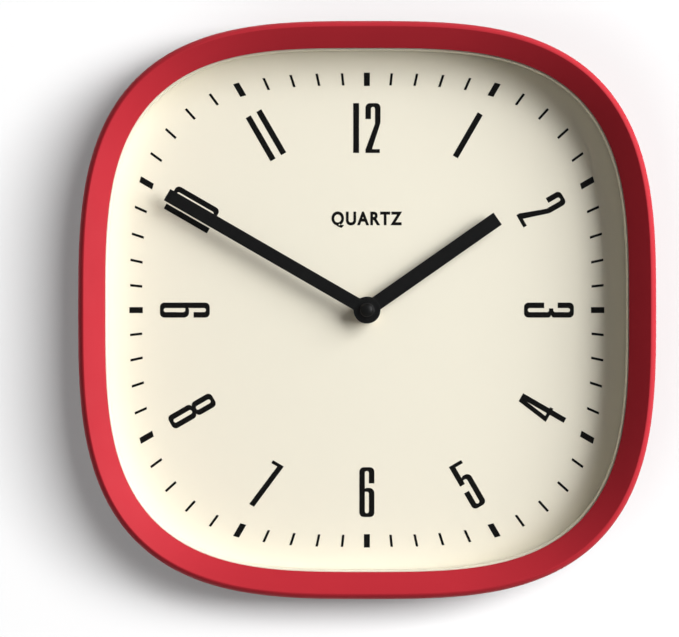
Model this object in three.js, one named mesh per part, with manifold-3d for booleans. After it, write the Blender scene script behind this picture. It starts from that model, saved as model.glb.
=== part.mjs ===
// Wall clock: a red moulded case with a rounded-square outline, a pane, a cream dial, two hands and a
// battery quartz movement with its whole wheel train.
// Millimetres, +Z up. The front faces -Y and the wall is the plane y = 0. The origin is the point of the
// keyhole slot that bears on the wall hook; the hands turn about the line x = 0, z = -HANG_HEIGHT.
// Inside this file every piece is drawn about the hands' axis, and one group lowers them all.
import * as THREE from "three";
import { mergeVertices } from "three/addons/utils/BufferGeometryUtils.js";
import Module from "manifold-3d";

const wasm = await Module();
wasm.setup();

// ---- Driving dimensions: case and dial ----
const CASE_WIDTH = 255;
const CASE_DEPTH = 46;
const BEZEL_WIDTH = 11.75;
const OUTER_EXPONENT = 3.11; // superellipse exponent of the case's outer outline
const INNER_EXPONENT = 3.27; // and of the bezel's inner outline
const OUTLINE_STEPS = 72;
const GAP = 0.3; // left between pieces that rest on each other
const WALL = 2.5; // moulded wall of the case
const DRAFT = 1.2; // how far the case narrows from its front lip to its rear rim
const LIP = 2.6; // width of the rounded front lip
const LIP_HEIGHT = 4.5;
const BEZEL_DROP = 6.7; // how far the bezel's face falls from the crest to its inner edge
const PANE_LEDGE = 1.9; // thickness of the ledge that the pane rests on
const PANE = 2;
const SPACER = 12.8;
const DIAL = 1;
const BOARD = 3;
const PANE_INSET = 9.3; // edge of pane, spacer and dial, measured inward from the case's outline
const SPACER_INNER_INSET = 12.2;
const BOARD_INSET = 3.7;
const WELL_INSETS = [7, 9]; // the wall round pane, spacer and dial
const WELL_SHOULDER = 1.2; // how far the well's wall starts in front of the ledge
const SHELL_TAPER = 2.5; // depth over which the lip thins to the plain wall
const EDGE_BREAK = 0.3; // width of the broken edge inside the bezel

// ---- Fasteners and hanger ----
const BOSS_INSET = 6;
const BOSS_RADIUS = 3;
const PILOT_RADIUS = 1.3;
const BOARD_SCREWS = 8;
const SCREW_HOLE_RADIUS = 1.7;
const PILOT_DEPTH = 11;
const SCREW_HEAD_RADIUS = 2.5;
const SCREW_HEAD_HEIGHT = 1.9;
const SCREW_HEAD_RIM = 0.8; // height of the head's upright rim, and width of its bevel
const SCREW_SHANK_RADIUS = 1.1;
const SCREW_LENGTH = 8;
const SCREW_POINT = 1.4;
const CROSS_SLOT = { half: 1.6, halfWidth: 0.32, depth: 0.9 };
const HANG_HEIGHT = 112; // the slot's end above the hands' axis
const HANGER_HALF_WIDTH = 21;
const HANGER_TOP = 122;
const HANGER_BOTTOM = 97;
const HANGER_CORNER = 3;
const HANGER_SCREW = { x: 16, z: 118 };
const HANGER_PILOT_DEPTH = 9;
const LUG_HALF_WIDTH = 3.5;
const LUG_FRONT = -14;
const HANGER_BACK = -2.8;
const HANGER_THICKNESS = 1.2;
const SLOT_RADIUS = 2.5;
const KEYHOLE_RADIUS = 5;
const KEYHOLE_DROP = 8;

// ---- Hands ----
const MINUTE_LENGTH = 102.5;
const MINUTE_WIDTH = 5.8;
const MINUTE_ANGLE = 300; // degrees clockwise from 12
const HOUR_LENGTH = 70.9;
const HOUR_WIDTH = 6.5;
const HOUR_ANGLE = 55;
const HAND_THICKNESS = 0.6;
const HUB_RADIUS = 6;
const HOUR_BORE = 2.75;
const MINUTE_BORE = 1.45;
const CAP_RADIUS = 3.5;
const CAP_RIM = 0.8; // height of the cap's upright rim
const CAP_DOME = 2;
const CAP_SOCKET_RADIUS = 1.5;
const CAP_SOCKET_DEPTH = 1.5;

// ---- Movement ----
const MOVEMENT_HALF = 28;
const MOVEMENT_BACK = -0.6;
const MOVEMENT_WALL = 1.2;
const BUSH_RADIUS = 4;
const BUSH_BORE = 2.8;
const CELL_RADIUS = 7.1;
const CELL_HALF_LENGTH = 25.2;
const BAY_TOP = -12.1; // underside of the wall between the cell and the train
const BAY_WALL = 0.8;
const ARBOR = 0.4;
const PIVOT_HOLE = 0.6;
const ROTOR_RADIUS = 2.5;
const KNOB_ARBOR = 0.8;
const KNOB_HOLE = 1.05;
const KNOB_RIBS = 20;
const KNOB_RADII = [4.35, 4.7]; // between the ribs, and over them
const KNOB_BACK = -0.9;
const KNOB_FRONT = -3.1;
const KNOB_SLOT = { half: 2.6, halfWidth: 0.5, floor: -1.6 };
const BUSH_LENGTH = 9.7; // how far the bush stands in front of the housing
const PIPE_BORE = 1.5; // bore of the hour wheel's pipe, which turns on the cannon pinion
const PLATE_POST_RADIUS = 1.5;
const CIRCUIT_POST_RADIUS = 1.2;
const CIRCUIT_POST_BACK = -6.5;
const WASHER_THICKNESS = 0.5;
const WASHER_RADIUS = 5.9;
const RUBBER_RADIUS = 7.5;
const RUBBER_THICKNESS = 0.5;
const NUT_RADIUS = 5.7; // across the corners, halved
const NUT_HEIGHT = 2.5;

// ---- Depths, worked out from the crest back ----
const crestY = -CASE_DEPTH;
const innerEdgeY = crestY + BEZEL_DROP;
const ledgeY = innerEdgeY + PANE_LEDGE;
const paneFront = ledgeY + GAP;
const paneBack = paneFront + PANE;
const spacerFront = paneBack + GAP;
const spacerBack = spacerFront + SPACER;
const dialFront = spacerBack + GAP;
const dialBack = dialFront + DIAL;
const boardFront = dialBack + GAP;
const boardBack = boardFront + BOARD;
const movementFront = boardBack + 1.1; // leaves room for the rubber washer
const housingInside = movementFront + 0.8;

// ---- Colours and finishes ----
const finish = (color, roughness, metalness = 0) =>
  new THREE.MeshStandardMaterial({ color, roughness, metalness });
const redPlastic = finish(0xc0303a, 0.35);
const clearGlass = new THREE.MeshStandardMaterial({
  color: 0xf4f8f8,
  roughness: 0.05,
  transparent: true,
  opacity: 0.2,
});
const creamPaint = finish(0xeee8d7, 0.6);
const blackPaint = finish(0x161616, 0.4);
const blackPlastic = finish(0x1c1c1e, 0.55);
const whitePlastic = finish(0xe6e4dc, 0.5);
const hardboard = finish(0x4a3a2c, 0.85);
const steel = finish(0xb4b6b8, 0.35, 0.9);
const brass = finish(0xc9a24a, 0.35, 0.9);
const rubber = finish(0x222222, 0.9);
const copper = finish(0xb0623a, 0.45, 0.7);
const greenBoard = finish(0x2f6b46, 0.5);
const cellWrap = finish(0x6f7a84, 0.4, 0.2);

// ---- Solids ----
function toSolid(geometry) {
  const bare = geometry.clone();
  bare.deleteAttribute("normal");
  bare.deleteAttribute("uv");
  const merged = mergeVertices(bare, 1e-4);
  const build = (triVerts) =>
    new wasm.Manifold(
      new wasm.Mesh({
        numProp: 3,
        vertProperties: merged.attributes.position.array,
        triVerts,
      }),
    );
  const faces = Uint32Array.from(merged.index.array);
  const made = build(faces);
  return made.volume() < 0 ? build(faces.reverse()) : made;
}

function toGeometry(solid) {
  const mesh = solid.getMesh();
  const points = new Float32Array((mesh.vertProperties.length / mesh.numProp) * 3);
  for (let i = 0; i < points.length / 3; i++) {
    for (let k = 0; k < 3; k++) points[3 * i + k] = mesh.vertProperties[mesh.numProp * i + k];
  }
  const geometry = new THREE.BufferGeometry();
  geometry.setAttribute("position", new THREE.BufferAttribute(points, 3));
  geometry.setIndex(new THREE.BufferAttribute(Uint32Array.from(mesh.triVerts), 1));
  const flat = geometry.toNonIndexed();
  flat.computeVertexNormals();
  return flat;
}

const join = (...pieces) => toGeometry(pieces.map(toSolid).reduce((a, b) => a.add(b)));
const cut = (piece, ...tools) =>
  toGeometry(tools.map(toSolid).reduce((a, b) => a.subtract(b), toSolid(piece)));

// Turns an outline drawn in X and Z into a plate between two depths.
function plate(shape, back, front) {
  const geometry = new THREE.ExtrudeGeometry(shape, {
    depth: back - front,
    bevelEnabled: false,
    curveSegments: 8,
  });
  return geometry.rotateX(Math.PI / 2).translate(0, back, 0);
}

function rod(radius, back, front, x = 0, z = 0, sides = 16) {
  const geometry = new THREE.CylinderGeometry(radius, radius, back - front, sides);
  return geometry.translate(x, (back + front) / 2, z);
}

function block(x0, x1, y0, y1, z0, z1) {
  const geometry = new THREE.BoxGeometry(x1 - x0, y1 - y0, z1 - z0);
  return geometry.translate((x0 + x1) / 2, (y0 + y1) / 2, (z0 + z1) / 2);
}

function turned(points, segments = 24) {
  const profile = points.map(([radius, y]) => new THREE.Vector2(radius, y));
  return new THREE.LatheGeometry(profile, segments);
}

const disc = (radius) => new THREE.Shape().absarc(0, 0, radius, 0, 2 * Math.PI);
const circlePath = (x, z, radius) =>
  new THREE.Path().absellipse(x, z, radius, radius, 0, 2 * Math.PI);

function roundedRectangle(x0, x1, z0, z1, r) {
  const shape = new THREE.Shape();
  shape.moveTo(x0 + r, z0);
  shape.lineTo(x1 - r, z0);
  shape.absarc(x1 - r, z0 + r, r, -Math.PI / 2, 0);
  shape.lineTo(x1, z1 - r);
  shape.absarc(x1 - r, z1 - r, r, 0, Math.PI / 2);
  shape.lineTo(x0 + r, z1);
  shape.absarc(x0 + r, z1 - r, r, Math.PI / 2, Math.PI);
  shape.lineTo(x0, z0 + r);
  shape.absarc(x0 + r, z0 + r, r, Math.PI, 1.5 * Math.PI);
  return shape;
}

// ---- The rounded-square outline ----
// Distance from the centre to the outline that lies `inset` inside the case's outer outline.
function outlineRadius(inset, angle) {
  const exponent = OUTER_EXPONENT + ((INNER_EXPONENT - OUTER_EXPONENT) * inset) / BEZEL_WIDTH;
  const sum = Math.abs(Math.cos(angle)) ** exponent + Math.abs(Math.sin(angle)) ** exponent;
  return (CASE_WIDTH / 2 - inset) * sum ** (-1 / exponent);
}

const outlinePoint = (inset, angle) =>
  new THREE.Vector2(Math.cos(angle), Math.sin(angle)).multiplyScalar(outlineRadius(inset, angle));

function outlinePoints(inset) {
  const points = [];
  for (let i = 0; i < OUTLINE_STEPS; i++) {
    points.push(outlinePoint(inset, (2 * Math.PI * i) / OUTLINE_STEPS));
  }
  return points;
}

const outlinePlate = (inset, back, front, holes = []) => {
  const shape = new THREE.Shape(outlinePoints(inset));
  shape.holes = holes;
  return plate(shape, back, front);
};

// A section of [inset, depth] points, turned round the axis and then pushed out to the outline.
function outlineRing(section) {
  const closed = [...section, section[0]];
  const ring = turned(
    closed.map(([inset, y]) => [CASE_WIDTH / 2 - inset, y]),
    OUTLINE_STEPS,
  );
  const position = ring.attributes.position;
  for (let i = 0; i < position.count; i++) {
    const x = position.getX(i);
    const z = position.getZ(i);
    const angle = Math.atan2(z, x);
    const radius = outlineRadius(CASE_WIDTH / 2 - Math.hypot(x, z), angle);
    position.setX(i, radius * Math.cos(angle));
    position.setZ(i, radius * Math.sin(angle));
  }
  return ring;
}

// ---- Case, pane, spacer, dial and board ----
const bossAngle = (i) => (2 * Math.PI * (i + 0.5)) / BOARD_SCREWS;
const bosses = Array.from({ length: BOARD_SCREWS }, (_, i) =>
  outlinePoint(BOSS_INSET, bossAngle(i)),
);

function lipPoints(steps) {
  const points = [];
  for (let i = 0; i <= steps; i++) {
    const turn = (Math.PI / 2) * (i / steps);
    points.push([LIP * (1 - Math.cos(turn)), crestY + LIP_HEIGHT * (1 - Math.sin(turn))]);
  }
  return points;
}

function makeCase() {
  const shell = outlineRing([
    [DRAFT, 0],
    ...lipPoints(3),
    [BEZEL_WIDTH - EDGE_BREAK, innerEdgeY - 0.2],
    [BEZEL_WIDTH, innerEdgeY + EDGE_BREAK],
    [BEZEL_WIDTH, ledgeY],
    [WELL_INSETS[1], ledgeY],
    [WELL_INSETS[1], dialBack],
    [WELL_INSETS[0], dialBack],
    [WELL_INSETS[0], ledgeY - WELL_SHOULDER],
    [WALL + 1, crestY + LIP_HEIGHT],
    [WALL, crestY + LIP_HEIGHT + SHELL_TAPER],
    [WALL + DRAFT, 0],
  ]);
  const posts = bosses.map((p) => rod(BOSS_RADIUS, dialBack, ledgeY, p.x, p.y));
  const pilots = bosses.map((p) =>
    rod(PILOT_RADIUS, dialBack + 1, dialBack - PILOT_DEPTH, p.x, p.y, 12),
  );
  const lugTop = CASE_WIDTH / 2 - WALL;
  const lugBack = HANGER_BACK - HANGER_THICKNESS - GAP;
  const lugs = [-1, 1].map((side) =>
    block(
      side * HANGER_SCREW.x - LUG_HALF_WIDTH,
      side * HANGER_SCREW.x + LUG_HALF_WIDTH,
      LUG_FRONT,
      lugBack,
      HANGER_SCREW.z - LUG_HALF_WIDTH,
      lugTop,
    ),
  );
  const pilotFront = lugBack - HANGER_PILOT_DEPTH;
  const lugPilots = [-1, 1].map((side) =>
    rod(PILOT_RADIUS, lugBack + 1, pilotFront, side * HANGER_SCREW.x, HANGER_SCREW.z, 12),
  );
  return cut(join(shell, ...posts, ...lugs), ...pilots, ...lugPilots);
}

const makeSpacer = () =>
  outlineRing([
    [PANE_INSET, spacerBack],
    [PANE_INSET, spacerFront],
    [SPACER_INNER_INSET, spacerFront],
    [SPACER_INNER_INSET, spacerBack],
  ]);

const makePane = () => outlinePlate(PANE_INSET, paneBack, paneFront);

const makeDial = () =>
  outlinePlate(PANE_INSET, dialBack, dialFront, [circlePath(0, 0, BUSH_RADIUS + GAP)]);

const makeBoard = () =>
  outlinePlate(BOARD_INSET, boardBack, boardFront, [
    circlePath(0, 0, BUSH_RADIUS + GAP),
    ...bosses.map((p) => circlePath(p.x, p.y, SCREW_HOLE_RADIUS)),
  ]);

// A pan-head self-tapping screw whose head bears on a face at `seat`, driven towards -Y.
function makeScrew(x, z, seat) {
  const under = seat + GAP;
  const top = under + SCREW_HEAD_HEIGHT;
  const body = turned(
    [
      [0, under - SCREW_LENGTH],
      [SCREW_SHANK_RADIUS, under - SCREW_LENGTH + SCREW_POINT],
      [SCREW_SHANK_RADIUS, under],
      [SCREW_HEAD_RADIUS, under],
      [SCREW_HEAD_RADIUS, under + SCREW_HEAD_RIM],
      [SCREW_HEAD_RADIUS - SCREW_HEAD_RIM, top],
      [0, top],
    ],
    10,
  );
  const { half, halfWidth, depth } = CROSS_SLOT;
  const slots = [
    block(-half, half, top - depth, top + 0.2, -halfWidth, halfWidth),
    block(-halfWidth, halfWidth, top - depth, top + 0.2, -half, half),
  ];
  return cut(body, ...slots).translate(x, 0, z);
}

function makeHanger() {
  const shape = roundedRectangle(
    -HANGER_HALF_WIDTH,
    HANGER_HALF_WIDTH,
    HANGER_BOTTOM,
    HANGER_TOP,
    HANGER_CORNER,
  );
  const bottom = HANG_HEIGHT - KEYHOLE_DROP;
  const neck = Math.asin(SLOT_RADIUS / KEYHOLE_RADIUS);
  const keyhole = new THREE.Path();
  keyhole.absarc(0, HANG_HEIGHT, SLOT_RADIUS, 0, Math.PI);
  keyhole.absarc(0, bottom, KEYHOLE_RADIUS, Math.PI / 2 + neck, Math.PI / 2 - neck + 2 * Math.PI);
  keyhole.closePath();
  const screws = [-1, 1].map((side) =>
    circlePath(side * HANGER_SCREW.x, HANGER_SCREW.z, SCREW_HOLE_RADIUS),
  );
  shape.holes = [keyhole, ...screws];
  return plate(shape, HANGER_BACK, HANGER_BACK - HANGER_THICKNESS);
}

// ---- Wheels ----
// A gear outline with straight-sided teeth and generous backlash; `phase` is one tooth's direction.
function gearShape(teeth, module, phase, bore = 0) {
  const pitch = (teeth * module) / 2;
  const tip = pitch + 0.85 * module;
  const root = pitch - 1.25 * module;
  const step = (2 * Math.PI) / teeth;
  const points = [];
  const add = (radius, angle) =>
    points.push(new THREE.Vector2(radius * Math.cos(angle), radius * Math.sin(angle)));
  for (let i = 0; i < teeth; i++) {
    const middle = phase + i * step;
    add(root, middle - 0.25 * step);
    add(tip, middle - 0.08 * step);
    add(tip, middle + 0.08 * step);
    add(root, middle + 0.25 * step);
  }
  const shape = new THREE.Shape(points);
  if (bore) shape.holes = [circlePath(0, 0, bore)];
  return shape;
}

const polar = (distance, degrees, from = { x: 0, z: 0 }) => {
  const angle = THREE.MathUtils.degToRad(degrees);
  return { x: from.x + distance * Math.cos(angle), z: from.z + distance * Math.sin(angle) };
};

// Teeth, module and place of each meshing pair; the centre distance follows from both.
const WORK_MODULE = 0.35;
const WORK_DIRECTION = 200;
const CANNON_TEETH = 10;
const MINUTE_WORK_TEETH = 30;
const MINUTE_WORK_PINION = 8;
const HOUR_TEETH = 32;
const KNOB_TEETH = 10;
const CENTRE_TEETH = 48;
const CENTRE_MODULE = 0.34;
const THIRD_PINION = 6;
const THIRD_TEETH = 45;
const THIRD_MODULE = 0.36;
const THIRD_DIRECTION = 135;
const SECONDS_PINION = 6;
const SECONDS_TEETH = 30;
const SECONDS_MODULE = 0.511;
const INTERMEDIATE_PINION = 6;
const INTERMEDIATE_DIRECTION = 50;
const INTERMEDIATE_TEETH = 36;
const INTERMEDIATE_MODULE = 0.4;
const ROTOR_PINION = 6;
const ROTOR_DIRECTION = 18;

const centreDistance = (a, b, module) => ((a + b) * module) / 2;
const workDistance = centreDistance(CANNON_TEETH, MINUTE_WORK_TEETH, WORK_MODULE);
const minuteWorkAt = polar(workDistance, WORK_DIRECTION);
const knobAt = polar(
  centreDistance(KNOB_TEETH, MINUTE_WORK_TEETH, WORK_MODULE),
  WORK_DIRECTION,
  minuteWorkAt,
);
const thirdAt = polar(
  centreDistance(CENTRE_TEETH, THIRD_PINION, CENTRE_MODULE),
  THIRD_DIRECTION,
);
const intermediateAt = polar(
  centreDistance(SECONDS_TEETH, INTERMEDIATE_PINION, SECONDS_MODULE),
  INTERMEDIATE_DIRECTION,
);
const rotorAt = polar(
  centreDistance(INTERMEDIATE_TEETH, ROTOR_PINION, INTERMEDIATE_MODULE),
  ROTOR_DIRECTION,
  intermediateAt,
);

// Tooth directions. The smaller gear has a tooth on the line of centres, and the larger a gap.
const toothOn = (degrees) => THREE.MathUtils.degToRad(degrees);
const gapOn = (degrees, teeth) => THREE.MathUtils.degToRad(degrees) + Math.PI / teeth;

// Depths of the wheels, front to back.
const hourLevel = [-14.3, -15.1];
const workLevel = [-12.7, -13.5];
const middlePlate = [-11.2, -12];
const centreLevel = [-10, -10.8];
const thirdLevel = [-8.6, -9.2];
const secondsLevel = [-7.2, -7.8];
const intermediateLevel = [-5.8, -6.4];
const stator = [-3.5, -4.5];
const arborBack = -2.3;

const wheel = (teeth, module, phase, [back, front], at, bore = 0) =>
  plate(gearShape(teeth, module, phase, bore), back, front).translate(at.x, 0, at.z);
const pinion = (teeth, module, phase, [back, front], at) =>
  wheel(teeth, module, phase, [back + 0.2, front - 0.2], at);
const arbor = (back, front, at, radius = ARBOR) => rod(radius, back, front, at.x, at.z, 12);
const axis = { x: 0, z: 0 };
const handSeat = movementFront - 12.7; // back of the minute hand
const hourSeat = movementFront - 10.1; // back of the hour hand

function makeHourWheel() {
  const teeth = wheel(
    HOUR_TEETH,
    WORK_MODULE,
    gapOn(WORK_DIRECTION, HOUR_TEETH),
    hourLevel,
    axis,
  );
  const pipe = rod(2.5, hourLevel[0], hourSeat - 0.9, 0, 0, 24);
  return cut(join(teeth, pipe), rod(PIPE_BORE, hourLevel[0] + 1, hourSeat - 2, 0, 0, 24));
}

function makeCannonPinion() {
  const teeth = pinion(CANNON_TEETH, WORK_MODULE, toothOn(WORK_DIRECTION), workLevel, axis);
  const pipe = rod(1.25, -9.7, handSeat - 1.8, 0, 0, 20);
  return cut(join(teeth, pipe), rod(0.75, -9, handSeat - 3, 0, 0, 16));
}

function makeMinuteWork() {
  const back = WORK_DIRECTION + 180;
  return join(
    wheel(
      MINUTE_WORK_TEETH,
      WORK_MODULE,
      gapOn(back, MINUTE_WORK_TEETH),
      workLevel,
      minuteWorkAt,
    ),
    wheel(
      MINUTE_WORK_PINION,
      WORK_MODULE,
      toothOn(back),
      [hourLevel[0] + 0.9, hourLevel[1] - 0.1],
      minuteWorkAt,
    ),
    arbor(-11.5, housingInside - 0.4, minuteWorkAt),
  );
}

function makeKnob() {
  const grip = [];
  for (let i = 0; i < 2 * KNOB_RIBS; i++) {
    const angle = (Math.PI * i) / KNOB_RIBS;
    const radius = KNOB_RADII[i % 2];
    grip.push(new THREE.Vector2(radius * Math.cos(angle), radius * Math.sin(angle)));
  }
  const { half, halfWidth, floor } = KNOB_SLOT;
  const cap = plate(new THREE.Shape(grip), KNOB_BACK, KNOB_FRONT);
  const slot = block(-half, half, floor, 0, -halfWidth, halfWidth);
  return join(
    cut(cap, slot).translate(knobAt.x, 0, knobAt.z),
    pinion(KNOB_TEETH, WORK_MODULE, toothOn(WORK_DIRECTION + 180), workLevel, knobAt),
    arbor(-2, housingInside - 0.4, knobAt, KNOB_ARBOR),
  );
}

const makeCentreWheel = () =>
  wheel(
    CENTRE_TEETH,
    CENTRE_MODULE,
    gapOn(THIRD_DIRECTION, CENTRE_TEETH),
    centreLevel,
    axis,
    1.5,
  );

const makeThirdWheel = () =>
  join(
    pinion(THIRD_PINION, CENTRE_MODULE, toothOn(THIRD_DIRECTION + 180), centreLevel, thirdAt),
    wheel(
      THIRD_TEETH,
      THIRD_MODULE,
      gapOn(THIRD_DIRECTION + 180, THIRD_TEETH),
      thirdLevel,
      thirdAt,
    ),
    arbor(arborBack, middlePlate[1] + 0.4, thirdAt),
  );

const makeSecondsWheel = () =>
  join(
    pinion(SECONDS_PINION, THIRD_MODULE, toothOn(THIRD_DIRECTION), thirdLevel, axis),
    wheel(
      SECONDS_TEETH,
      SECONDS_MODULE,
      gapOn(INTERMEDIATE_DIRECTION, SECONDS_TEETH),
      secondsLevel,
      axis,
    ),
    arbor(arborBack, handSeat - 0.6, axis, 0.5),
  );

const makeIntermediateWheel = () =>
  join(
    pinion(
      INTERMEDIATE_PINION,
      SECONDS_MODULE,
      toothOn(INTERMEDIATE_DIRECTION + 180),
      secondsLevel,
      intermediateAt,
    ),
    wheel(
      INTERMEDIATE_TEETH,
      INTERMEDIATE_MODULE,
      gapOn(ROTOR_DIRECTION, INTERMEDIATE_TEETH),
      intermediateLevel,
      intermediateAt,
    ),
    arbor(arborBack, middlePlate[1] + 0.4, intermediateAt),
  );

const makeRotor = () =>
  join(
    pinion(
      ROTOR_PINION,
      INTERMEDIATE_MODULE,
      toothOn(ROTOR_DIRECTION + 180),
      intermediateLevel,
      rotorAt,
    ),
    rod(ROTOR_RADIUS, stator[0] + 0.2, stator[1] - 0.6, rotorAt.x, rotorAt.z, 20),
    arbor(arborBack, middlePlate[1] + 0.4, rotorAt),
  );

// ---- Movement housing, cover and middle plate ----
const PLATE_POSTS = [
  [-18, -7],
  [18, -7],
  [-18, 12],
  [18, 12],
];
const CIRCUIT_POSTS = [
  [-22, 22],
  [-13, 22],
];

function makeHousing() {
  const outer = block(
    -MOVEMENT_HALF,
    MOVEMENT_HALF,
    movementFront,
    MOVEMENT_BACK,
    -MOVEMENT_HALF,
    MOVEMENT_HALF,
  );
  const room = MOVEMENT_HALF - MOVEMENT_WALL;
  const train = block(-room, room, housingInside, 1, BAY_TOP + BAY_WALL, room);
  const bay = block(-room, room, housingInside, 1, -room, BAY_TOP);
  const contactSlots = [-1, 1].map((side) =>
    block(
      side > 0 ? room - 1.9 : -room,
      side > 0 ? room : -room + 1.9,
      -13,
      1,
      BAY_TOP - 1,
      BAY_TOP + 2,
    ),
  );
  const bush = rod(BUSH_RADIUS, movementFront + 0.4, movementFront - BUSH_LENGTH, 0, 0, 32);
  const posts = PLATE_POSTS.map(([x, z]) =>
    rod(PLATE_POST_RADIUS, middlePlate[1] - GAP, housingInside - 0.2, x, z, 12),
  );
  const circuitPosts = CIRCUIT_POSTS.map(([x, z]) =>
    rod(CIRCUIT_POST_RADIUS, CIRCUIT_POST_BACK, housingInside - 0.2, x, z, 12),
  );
  const pivot = (radius, at) =>
    rod(radius, housingInside + 1, housingInside - 0.6, at.x, at.z, 12);
  return cut(
    join(cut(outer, train, bay, ...contactSlots), bush, ...posts, ...circuitPosts),
    rod(BUSH_BORE, housingInside + 1, movementFront - 11, 0, 0, 24),
    pivot(PIVOT_HOLE, minuteWorkAt),
    pivot(KNOB_HOLE, knobAt),
  );
}

function makeMiddlePlate() {
  const shape = roundedRectangle(-21, 21, -9.4, 15, 2);
  shape.holes = [
    circlePath(0, 0, PIPE_BORE),
    circlePath(knobAt.x, knobAt.z, KNOB_HOLE),
    ...[minuteWorkAt, thirdAt, intermediateAt, rotorAt].map((at) =>
      circlePath(at.x, at.z, PIVOT_HOLE),
    ),
  ];
  return plate(shape, ...middlePlate);
}

const COVER = [-0.9, -1.9];
const RECESS_RADIUS = 5.2;
const RECESS_WALL = 0.6;

function makeCover() {
  const edge = MOVEMENT_HALF - MOVEMENT_WALL - GAP;
  const panel = block(-edge, edge, COVER[1], COVER[0], BAY_TOP + BAY_WALL + GAP, edge);
  const cup = rod(RECESS_RADIUS + RECESS_WALL, COVER[0], -4.2, knobAt.x, knobAt.z, 28);
  const supports = [thirdAt, intermediateAt, rotorAt, axis].map((at) =>
    rod(1.3, COVER[0], COVER[1] - 1, at.x, at.z, 12),
  );
  const sockets = [thirdAt, intermediateAt, rotorAt, axis].map((at) =>
    rod(PIVOT_HOLE + 0.05, COVER[1], COVER[1] - 2, at.x, at.z, 12),
  );
  return cut(
    join(panel, cup, ...supports),
    rod(RECESS_RADIUS, 1, -3.5, knobAt.x, knobAt.z, 28),
    rod(KNOB_HOLE, 0, -6, knobAt.x, knobAt.z, 12),
    ...sockets,
  );
}

// ---- Motor ----
const COIL_Z = 22;
const COIL_X = [7.6, 19.4];
const COIL_Y = -5.35;
const FLANGE_RADIUS = 3.2;
const FLANGE = 0.6;
const SPOOL_RADIUS = 2;
const WINDING_RADII = [2.2, 3.05];

function makeStator() {
  const shape = new THREE.Shape();
  const outline = [
    [9.4, rotorAt.z - 4.4],
    [18.4, rotorAt.z - 4.4],
    [24, rotorAt.z + 1],
    [24, COIL_Z + 2.4],
    [20.2, COIL_Z + 2.4],
    [20.2, rotorAt.z + 5],
    [rotorAt.x + 1, rotorAt.z + 4.6],
    [rotorAt.x - 1, rotorAt.z + 4.6],
    [6.8, rotorAt.z + 6],
    [6.8, COIL_Z + 2.4],
    [3, COIL_Z + 2.4],
    [3, rotorAt.z + 2.4],
    [9.4, rotorAt.z - 0.4],
  ];
  shape.setFromPoints(outline.map(([x, z]) => new THREE.Vector2(x, z)));
  shape.holes = [circlePath(rotorAt.x, rotorAt.z, 3.1)];
  return plate(shape, ...stator);
}

const makeCore = () =>
  block(3.2, 23.8, stator[1] - GAP - 1.1, stator[1] - GAP, COIL_Z - 1.4, COIL_Z + 1.4);

const coilPart = (geometry, x0) =>
  geometry.rotateZ(-Math.PI / 2).translate(x0, COIL_Y, COIL_Z);

function makeBobbin() {
  const length = COIL_X[1] - COIL_X[0];
  const spool = turned([
    [0, 0],
    [FLANGE_RADIUS, 0],
    [FLANGE_RADIUS, FLANGE],
    [SPOOL_RADIUS, FLANGE],
    [SPOOL_RADIUS, length - FLANGE],
    [FLANGE_RADIUS, length - FLANGE],
    [FLANGE_RADIUS, length],
    [0, length],
  ]);
  const slot = block(0, 30, COIL_Y - 0.75, COIL_Y + 0.75, COIL_Z - 1.6, COIL_Z + 1.6);
  return cut(coilPart(spool, COIL_X[0]), slot);
}

function makeWinding() {
  const [inner, outer] = WINDING_RADII;
  const start = FLANGE + GAP;
  const end = COIL_X[1] - COIL_X[0] - start;
  const ring = [
    [inner, start],
    [outer, start],
    [outer, end],
    [inner, end],
  ];
  return coilPart(turned([...ring, ring[0]]), COIL_X[0]);
}

// ---- Electronics and cell ----
const PCB = [-5.2, -6.2];
const makeCircuitBoard = () => plate(roundedRectangle(-25, -1, 17.5, 26, 0.6), ...PCB);
const makeChip = () =>
  turned([
    [0, 0],
    [2.6, 0],
    [2.3, 0.6],
    [1.3, 1.05],
    [0, 1.2],
  ]).translate(-17.5, PCB[0] + GAP, 21.6);
const makeCrystal = () =>
  coilPart(turned([[0, 0], [1.1, 0], [1.1, 6], [0, 6]], 16), 0).translate(
    -10,
    PCB[0] + GAP + 1.15 - COIL_Y,
    0,
  );

const cellZ = BAY_TOP - GAP - CELL_RADIUS;
const cellY = housingInside + GAP + CELL_RADIUS;
const contactEnd = MOVEMENT_HALF - MOVEMENT_WALL - GAP;
const CONTACT_HALF = 4; // half width of each contact's spring plate
const CONTACT_DEPTHS = [-13, -3];
const NEGATIVE_THICKNESS = 0.4;
const POSITIVE_THICKNESS = 0.5;

const springPlate = (x0, x1) =>
  block(x0, x1, ...CONTACT_DEPTHS, cellZ - CONTACT_HALF, cellZ + CONTACT_HALF);

const makeNegative = () =>
  join(
    springPlate(-contactEnd, -contactEnd + NEGATIVE_THICKNESS),
    coilPart(turned([[0, 0], [3, 0], [2, 0.5], [0, 0.5]], 16), 0).translate(
      -contactEnd + 0.3,
      cellY - COIL_Y,
      cellZ - COIL_Z,
    ),
    block(-contactEnd, -contactEnd + NEGATIVE_THICKNESS, -4.6, -3, cellZ, 24),
  );

function makePositive() {
  const railZ = BAY_TOP + BAY_WALL + GAP;
  return join(
    springPlate(contactEnd - POSITIVE_THICKNESS, contactEnd),
    block(contactEnd - POSITIVE_THICKNESS, contactEnd, -9.5, -7, cellZ, railZ + 0.3),
    block(-25.7, contactEnd, -9.5, -7, railZ, railZ + 0.3),
    block(-25.7, -25.4, -9.5, -7, railZ, 19),
    block(-25.7, -24, -6.8, -6.5, 17.6, 19),
    block(-25.7, -25.4, -7.2, -6.5, 17.6, 19),
  );
}

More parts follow.
